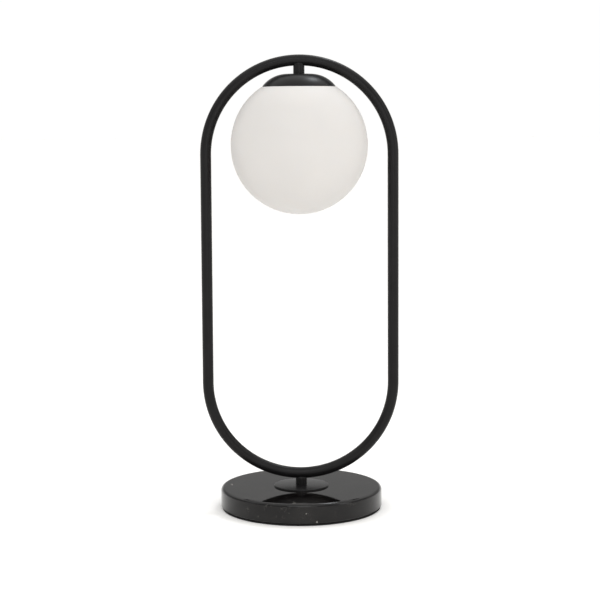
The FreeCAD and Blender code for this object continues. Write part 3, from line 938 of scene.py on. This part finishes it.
@dataclass
class Studio:
    """Camera, pale floor and soft light."""

    camera_x: float = -0.05
    camera_back: float = 1744.8
    camera_height: float = 431.5
    look_down: float = 5.495
    roll: float = -0.35
    focal: float = 1599.5           # in pixels of the 600 pixel frame
    frame_side: float = 600.0
    raise_by: float = 30.0          # pixels from the frame's centre up to the optical axis
    sensor: float = 36.0
    clip_end: float = 200000.0
    floor_side: float = 60000.0
    floor_low: Colour = (0.955, 0.945, 0.93)
    floor_high: Colour = (0.965, 0.955, 0.94)
    softboxes: tuple[Softbox, ...] = (
        Softbox("softbox_back", (620, 960, 2350), (380, 380), 7.5, (0.90, 0.95, 1.0)),
        Softbox("softbox_top", (-150, -2250, 1850), (1500, 420), 9.0, (0.93, 0.965, 1.0)),
        Softbox("softbox_front", (350, -2300, 700), (1100, 900), 4.0, (1.0, 0.985, 0.97)),
        Softbox("softbox_right", (1900, -900, 1000), (700, 1500), 5.0, (1.0, 0.99, 0.98), (0, 0, 300)),
        Softbox("softbox_left", (-2100, -500, 900), (600, 1500), 1.0, (0.97, 0.98, 1.0), (0, 0, 300)),
    )
    # brightness of the surroundings by height, from straight down (0) to straight up (1)
    sky: tuple[Point, ...] = (
        (0.0, 1.02),
        (0.185, 1.02),
        (0.212, 0.37),
        (0.35, 0.37),
        (0.5, 0.80),
        (0.72, 1.36),
        (1.0, 1.42),
    )
    sky_tint: Colour = (1.0, 0.995, 0.985)

    def camera(self) -> Piece:
        """Place the camera in front of the lamp, looking a little down.

        Returns:
            The camera.
        """
        deselect()
        place = (self.camera_x * MM, -self.camera_back * MM, self.camera_height * MM)
        tilt = math.radians(90 - self.look_down)
        bpy.ops.object.camera_add(location=place, rotation=(tilt, 0, 0))
        camera = bpy.context.object
        camera.name = "camera_front"
        camera.rotation_euler.rotate_axis("Z", math.radians(self.roll))
        camera.data.sensor_width = self.sensor
        camera.data.lens = self.focal / self.frame_side * self.sensor
        camera.data.shift_y = -self.raise_by / self.frame_side
        camera.data.clip_end = self.clip_end * MM
        bpy.context.scene.camera = camera
        return camera

    def floor(self) -> Piece:
        """Lay the plain pale floor.

        Returns:
            The floor.
        """
        deselect()
        bpy.ops.mesh.primitive_plane_add(size=self.floor_side * MM, location=(0, 0, 0))
        floor = bpy.context.object
        floor.name = "floor_pale"
        board = NodeBoard("floor_paint")
        tones = [(0.0, self.floor_low), (1.0, self.floor_high)]
        board.colour(board.ramp(board.noise(3.0, 2.0), tones))
        board.set(Roughness=0.9, Specular_IOR_Level=0.1)
        floor.data.materials.append(board.material)
        return floor

    def lights(self) -> None:
        """Hang the lights and set the surroundings."""
        scene = bpy.context.scene
        scene.view_settings.view_transform = "Standard"
        for softbox in self.softboxes:
            softbox.build()
        world = bpy.data.worlds.new("surroundings")
        scene.world = world
        world.use_nodes = True
        tree = world.node_tree
        tree.nodes.clear()
        output = tree.nodes.new("ShaderNodeOutputWorld")
        background = tree.nodes.new("ShaderNodeBackground")
        place = tree.nodes.new("ShaderNodeTexCoord")
        split = tree.nodes.new("ShaderNodeSeparateXYZ")
        ramp = tree.nodes.new("ShaderNodeValToRGB")
        band = ramp.color_ramp
        while len(band.elements) < len(self.sky):
            band.elements.new(0.5)
        for element, (where, level) in zip(band.elements, self.sky):
            element.position = where
            element.color = (*(level * part for part in self.sky_tint), 1.0)
        tree.links.new(place.outputs["Generated"], split.inputs[0])
        tree.links.new(split.outputs["Z"], ramp.inputs["Fac"])
        tree.links.new(ramp.outputs["Color"], background.inputs["Color"])
        tree.links.new(background.outputs["Background"], output.inputs["Surface"])


# ---- foot


@dataclass
class Foot:
    """Stone foot with its pad, plate, clamped parts, terminal block and cord inlet."""

    finishes: Finishes
    pad_r: float = 87.5
    pad_t: float = 2.0
    pad_round: float = 0.4
    plate_r: float = 30.0
    plate_hole_r: float = 5.1
    plate_bottom: float = 23.5
    plate_t: float = 1.5
    plate_round: float = 0.45
    nipple_bottom: float = 8.9
    nipple_top: float = 30.5
    screw_x: tuple[float, float] = (-29.5, -21.5)
    screw_y: tuple[float, float] = (-4.0, 4.0)
    screw_bottom: float = 4.6
    slot_half_l: float = 2.0
    slot_w: float = 0.6
    slot_depth: float = 0.9

    def grub_screws(self) -> Piece:
        """Four slotted screws in the terminal block, their heads down.

        Returns:
            The screws in one object.
        """
        screws = from_node("terminal_screws", "terminal_grub_screws", 0.15)
        for x in self.screw_x:
            for y in self.screw_y:
                low = (x - self.slot_half_l, y - self.slot_w / 2, self.screw_bottom - CUT_OVER)
                top = self.screw_bottom + self.slot_depth
                high = (x + self.slot_half_l, y + self.slot_w / 2, top)
                carve(screws, box_piece("slot", low, high))
        bpy.ops.object.shade_smooth_by_angle(angle=math.radians(30))
        return screws

    def pad(self) -> Piece:
        """Foam pad under the stone, with rounded edges.

        Returns:
            The pad.
        """
        edge_r = self.pad_r - self.pad_round
        low = arc((edge_r, self.pad_round), self.pad_round, -90, 0, 3)
        high = arc((edge_r, self.pad_t - self.pad_round), self.pad_round, 0, 90, 3)
        return turned("foot_pad", [(0.0, 0.0)] + low + high + [(0.0, self.pad_t)], 160)

    def plate(self) -> Piece:
        """Thin steel plate that the loop's stem stands on.

        Returns:
            The plate.
        """
        low, top = self.plate_bottom, self.plate_bottom + self.plate_t
        soft = self.plate_round
        edge = arc((self.plate_r - soft, top - soft), soft, 0, 90, 5)
        underside = [(self.plate_hole_r, low), (self.plate_r, low)]
        return turned("steel_plate", underside + edge + [(self.plate_hole_r, top)])

    def build(self) -> None:
        """Make and dress the foot's pieces."""
        finishes = self.finishes
        dress(self.pad(), finishes, Slot.PAD, stands_for=("base_pad",))
        NodeCopy("base_slab", "marble_foot", Slot.STONE, sharp=25.0).build(finishes)
        dress(self.plate(), finishes, Slot.BLACK_STEEL, stands_for=("foot_plate",))
        for copy in (
            NodeCopy("cord_grommet", "inlet_grommet", Slot.BLACK_PLASTIC, 0.35),
            NodeCopy("base_washer", "clamp_washer", Slot.ZINC_STEEL, 0.15),
            NodeCopy("earth_tag", "earth_ring_tag", Slot.BRASS),
            NodeCopy("base_nut", "clamp_nut", Slot.ZINC_STEEL, 0.25),
        ):
            copy.build(finishes)
        nipple = threaded_tube("foot_nipple", self.nipple_bottom, self.nipple_top)
        dress(nipple, finishes, Slot.ZINC_STEEL, stands_for=("lower_nipple",))
        NodeCopy("terminal_block", "terminal_housing", Slot.WHITE_PLASTIC).build(finishes)
        dress(self.grub_screws(), finishes, Slot.ZINC_STEEL, stands_for=("terminal_screws",))


# ---- loop


@dataclass
class Loop:
    """Closed loop of round tube and its two coped stems."""

    finishes: Finishes
    tube_r: float = 6.0
    bend_r: float = 102.0
    low_bend: float = 140.0
    high_bend: float = 390.0
    sides: int = 56
    bend_steps: int = 96

    def tube(self) -> Piece:
        """Tube drawn up the right side, over the top, down the left side and round the bottom.

        Returns:
            The closed tube.
        """
        deselect()
        start = (self.bend_r * MM, 0, self.low_bend * MM)
        bpy.ops.mesh.primitive_circle_add(vertices=self.sides, radius=self.tube_r * MM, location=start)
        piece = bpy.context.object
        piece.name = piece.data.name = "oval_loop"
        bpy.ops.object.transform_apply(location=True)
        rise = (self.high_bend - self.low_bend) * MM
        edit_all()
        for length, height in ((rise, self.high_bend), (-rise, self.low_bend)):
            bpy.ops.mesh.extrude_region_move(TRANSFORM_OT_translate={"value": (0, 0, length)})
            bpy.ops.mesh.spin(
                steps=self.bend_steps,
                angle=math.pi,
                center=(0, 0, height * MM),
                axis=(0, 1, 0),
                use_auto_merge=False,
            )
        close_skin(MERGE_LOOP)
        bpy.ops.object.shade_smooth()
        return piece

    def build(self) -> None:
        """Make and dress the loop and its stems."""
        steel = Slot.BLACK_STEEL
        dress(self.tube(), self.finishes, steel, stands_for=("frame_loop",))
        NodeCopy("lower_stem", "coped_stem_low", steel, sharp=40.0).build(self.finishes)
        NodeCopy("upper_stem", "coped_stem_high", steel, sharp=40.0).build(self.finishes)


# ---- cap


@dataclass
class Cap:
    """Shallow cap, the parts that it is clamped with and the collar inside it."""

    finishes: Finishes
    rim_r: float = 40.0
    top: float = 477.1
    rim: float = 463.5
    crown_r: float = 13.0
    wall: float = 1.0
    hole_r: float = 5.1
    rim_round: float = 0.05
    rim_angle_gap: float = 0.6      # degrees left between the arcs and the rim
    nipple_bottom: float = 466.5
    nipple_top: float = 482.6

    def shell(self) -> Piece:
        """Spun cap with a rounded rim.

        Returns:
            The cap.
        """
        width = self.rim_r - self.crown_r
        height = self.top - self.rim
        outer_r = (width ** 2 + height ** 2) / (2 * height)
        inner_r = outer_r - self.wall
        centre = (self.crown_r, self.top - outer_r)
        outer_angle, inner_angle = (
            math.degrees(math.asin((self.rim - centre[1]) / r)) + self.rim_angle_gap
            for r in (outer_r, inner_r)
        )
        outer = arc(centre, outer_r, 90, outer_angle, 26)
        inner = arc(centre, inner_r, inner_angle, 90, 26)
        lip = [
            (outer[-1][0] - self.rim_round, self.rim),
            (inner[0][0] + self.rim_round, self.rim),
        ]
        crown, under = (self.hole_r, self.top), (self.hole_r, self.top - self.wall)
        return turned("spun_cap", [crown] + outer + lip + inner + [under], 160, 40.0)

    def build(self) -> None:
        """Make and dress the cap's pieces."""
        zinc = Slot.ZINC_STEEL
        dress(self.shell(), self.finishes, Slot.BLACK_STEEL, stands_for=("cap",))
        nipple = threaded_tube("cap_nipple", self.nipple_bottom, self.nipple_top)
        dress(nipple, self.finishes, zinc, stands_for=("upper_nipple",))
        for copy in (
            NodeCopy("cap_washer", "cap_clamp_washer", zinc, 0.12),
            NodeCopy("cap_nut", "cap_clamp_nut", zinc, 0.25),
            NodeCopy("globe_collar", "threaded_collar", zinc, 0.2),
            NodeCopy("collar_nut", "collar_clamp_nut", zinc, 0.25),
        ):
            copy.build(self.finishes)


# ---- globe


@dataclass
class Globe:
    """Blown opal globe with its neck, and the gasket on the neck's end."""

    finishes: Finishes
    ball_r: float = 74.5
    wall: float = 3.0
    low_centre: float = 399.535
    high_centre: float = 400.735
    shoulder: float = 463.2
    neck_r: float = 30.2
    neck_top: float = 467.7
    shoulder_round: float = 1.0
    lip_round: float = 0.9
    inner_round: float = 2.0

    def glass(self) -> Piece:
        """Ball, shoulder and neck in one closed skin, inside and outside.

        Returns:
            The globe.
        """
        low_centre, high_centre = (0.0, self.low_centre), (0.0, self.high_centre)
        mouth_r = math.sqrt(self.ball_r ** 2 - (self.shoulder - self.high_centre) ** 2)
        mouth_angle = math.degrees(math.acos(mouth_r / self.ball_r))
        outer = arc(low_centre, self.ball_r, -90, 0, 52)
        outer += arc(high_centre, self.ball_r, 0, mouth_angle - 1.2, 34)
        last_r, last_z = outer[-1]
        soft = self.shoulder_round
        corner = [
            (last_r - 0.42 * soft, last_z + 0.62 * (self.shoulder - last_z)),
            (last_r - 1.0 * soft, self.shoulder - 0.12 * soft),
            (last_r - 1.6 * soft, self.shoulder),
        ]
        neck = [
            (self.neck_r + 0.6, self.shoulder),
            (self.neck_r + 0.15, self.shoulder + 0.15),
            (self.neck_r, self.shoulder + 0.6),
        ]
        neck_in = self.neck_r - self.wall
        lip = self.lip_round
        rim = arc((self.neck_r - lip, self.neck_top - lip), lip, 0, 90, 4)
        rim += arc((neck_in + lip, self.neck_top - lip), lip, 90, 180, 4)
        inner_r = self.ball_r - self.wall
        inner_shoulder = self.shoulder - self.wall
        bend = self.inner_round
        under = arc((neck_in - bend, inner_shoulder + bend), bend, 0, -90, 4)
        inner_angle = math.degrees(math.asin((inner_shoulder - self.high_centre) / inner_r))
        inner = arc(high_centre, inner_r, inner_angle - 2.0, 0, 30)
        inner += arc(low_centre, inner_r, 0, -90, 44)
        return turned("opal_globe", outer + corner + neck + rim + under + inner, 160, 50.0)

    def build(self) -> None:
        """Make and dress the globe and its gasket."""
        dress(self.glass(), self.finishes, Slot.OPAL_GLASS, Body.GLOBE, ("globe",))
        gasket = NodeCopy("neck_gasket", "neck_seal_ring", Slot.SILICONE, 0.2, body=Body.GASKET)
        gasket.build(self.finishes)


# ---- lampholder


@dataclass
class Holder:
    """Lampholder on its bracket."""

    finishes: Finishes
    head_x: float = 12.0
    head_r: float = 2.8
    slot_w: float = 0.8
    slot_depth: float = 1.1
    slot_over: float = 0.5          # length of the slot's cutter past the head's edge
    screw_z: float = 448.7

    def screws(self) -> Piece:
        """Two pan-head screws with a driver slot each.

        Returns:
            The screws in one object.
        """
        screws = from_node("holder_screws", "strap_screws", sharp=40.0)
        for side in (-1, 1):
            bed, face = self.head_x - self.slot_depth, self.head_x + CUT_OVER
            ends = sorted((side * bed, side * face))
            low = (ends[0], -self.head_r - self.slot_over, self.screw_z - self.slot_w / 2)
            high = (ends[1], self.head_r + self.slot_over, self.screw_z + self.slot_w / 2)
            carve(screws, box_piece("slot", low, high))
        bpy.ops.object.shade_smooth_by_angle(angle=math.radians(35))
        return screws

    def build(self) -> None:
        """Make and dress the holder's pieces."""
        for copy in (
            NodeCopy("holder_bracket", "holder_strap", Slot.ZINC_STEEL, 0.15),
            NodeCopy("lampholder", "holder_body", Slot.CERAMIC, 0.4),
            NodeCopy("socket_contacts", "holder_contacts", Slot.BRASS, 0.05),
        ):
            copy.build(self.finishes)
        dress(self.screws(), self.finishes, Slot.ZINC_STEEL, stands_for=("holder_screws",))


# ---- lamp


@dataclass
class Bulb:
    """Two-pin lamp."""

    finishes: Finishes
    board_half_t: float = 0.6
    board_top: float = 423.4
    chip_w: float = 2.8
    chip_h: float = 2.0
    chip_t: float = 0.65
    chip_frame: float = 0.35
    window_sink: float = 0.12
    column_x: float = 1.85
    first_row: float = 3.4          # from the board's upper end
    row_pitch: float = 3.4
    rows: int = 6

    def chip(self, face: int) -> Piece:
        """One diode on a face of the board, its window sunk in a frame.

        Args:
            face: -1 for the front of the board, 1 for its back.

        Returns:
            The diode, at the first place of the right column.
        """
        middle = self.board_top - self.first_row
        near = face * self.board_half_t
        far = face * (self.board_half_t + self.chip_t)
        low = (self.column_x - self.chip_w / 2, min(near, far), middle - self.chip_h / 2)
        high = (self.column_x + self.chip_w / 2, max(near, far), middle + self.chip_h / 2)
        chip = box_piece("diode", low, high)
        bpy.ops.object.mode_set(mode="EDIT")
        bpy.ops.mesh.select_mode(type="FACE")
        bpy.ops.mesh.select_all(action="DESELECT")
        bpy.ops.object.mode_set(mode="OBJECT")
        for polygon in chip.data.polygons:
            polygon.select = polygon.normal.y * face > 0.9
        bpy.ops.object.mode_set(mode="EDIT")
        bpy.ops.mesh.inset(thickness=self.chip_frame * MM)
        sink = (0, -face * self.window_sink * MM, 0)
        bpy.ops.mesh.extrude_region_move(TRANSFORM_OT_translate={"value": sink})
        bpy.ops.object.mode_set(mode="OBJECT")
        chip.data.materials.append(self.finishes[Slot.LED_BOARD])
        chip.data.materials.append(self.finishes.phosphor)
        window_y = (self.board_half_t + self.chip_t - self.window_sink / 2) * MM
        for polygon in chip.data.polygons:
            sunk = abs(polygon.center.y) < window_y
            polygon.material_index = int(sunk and polygon.normal.y * face > 0.9)
        return chip

    def diodes(self) -> Piece:
        """Two columns of diodes on each face of the board.

        Returns:
            The diodes in one object.
        """
        chips = []
        for face in (-1, 1):
            model = self.chip(face)
            for column in (0, -2 * self.column_x):
                for row in range(self.rows):
                    take(model)
                    bpy.ops.object.duplicate(linked=False)
                    step = (column * MM, 0, -row * self.row_pitch * MM)
                    bpy.ops.transform.translate(value=step)
                    chips.append(bpy.context.object)
            bpy.data.objects.remove(model)
        whole = joined("board_diodes", chips)
        settle(whole)
        return whole

    def build(self) -> None:
        """Make and dress the lamp's pieces."""
        for node, name, slot, edge in (
            ("bulb_base", "bulb_cap", Slot.WHITE_PLASTIC, 0.3),
            ("bulb_pins", "bulb_pin_loops", Slot.ZINC_STEEL, 0.0),
            ("bulb_envelope", "bulb_cover", Slot.FROSTED_COVER, 0.0),
            ("led_board", "diode_board", Slot.LED_BOARD, 0.1),
        ):
            NodeCopy(node, name, slot, edge, body=Body.BULB).build(self.finishes)
        dress(self.diodes(), None, Slot.LED_BOARD, Body.BULB)


# ---- leads


@dataclass
class Leads:
    """The two leads from the terminal block to the lampholder."""

    finishes: Finishes

    def build(self) -> None:
        """Make and dress the leads."""
        NodeCopy("lead_live", "brown_lead", Slot.LEAD_BROWN, sharp=50.0).build(self.finishes)
        NodeCopy("lead_neutral", "blue_lead", Slot.LEAD_BLUE, sharp=50.0).build(self.finishes)


# ---- main


def main() -> None:
    """Build the studio and the lamp."""
    logging.basicConfig(level=logging.INFO, format="%(message)s")
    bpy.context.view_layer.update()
    studio = Studio()
    studio.camera()
    studio.floor()
    studio.lights()
    finishes = Finishes().build()
    for assembly in (Foot, Loop, Cap, Globe, Holder, Bulb, Leads):
        LOG.info("%s", assembly.__name__)
        assembly(finishes).build()
    deselect()


if __name__ == "__main__":
    main()
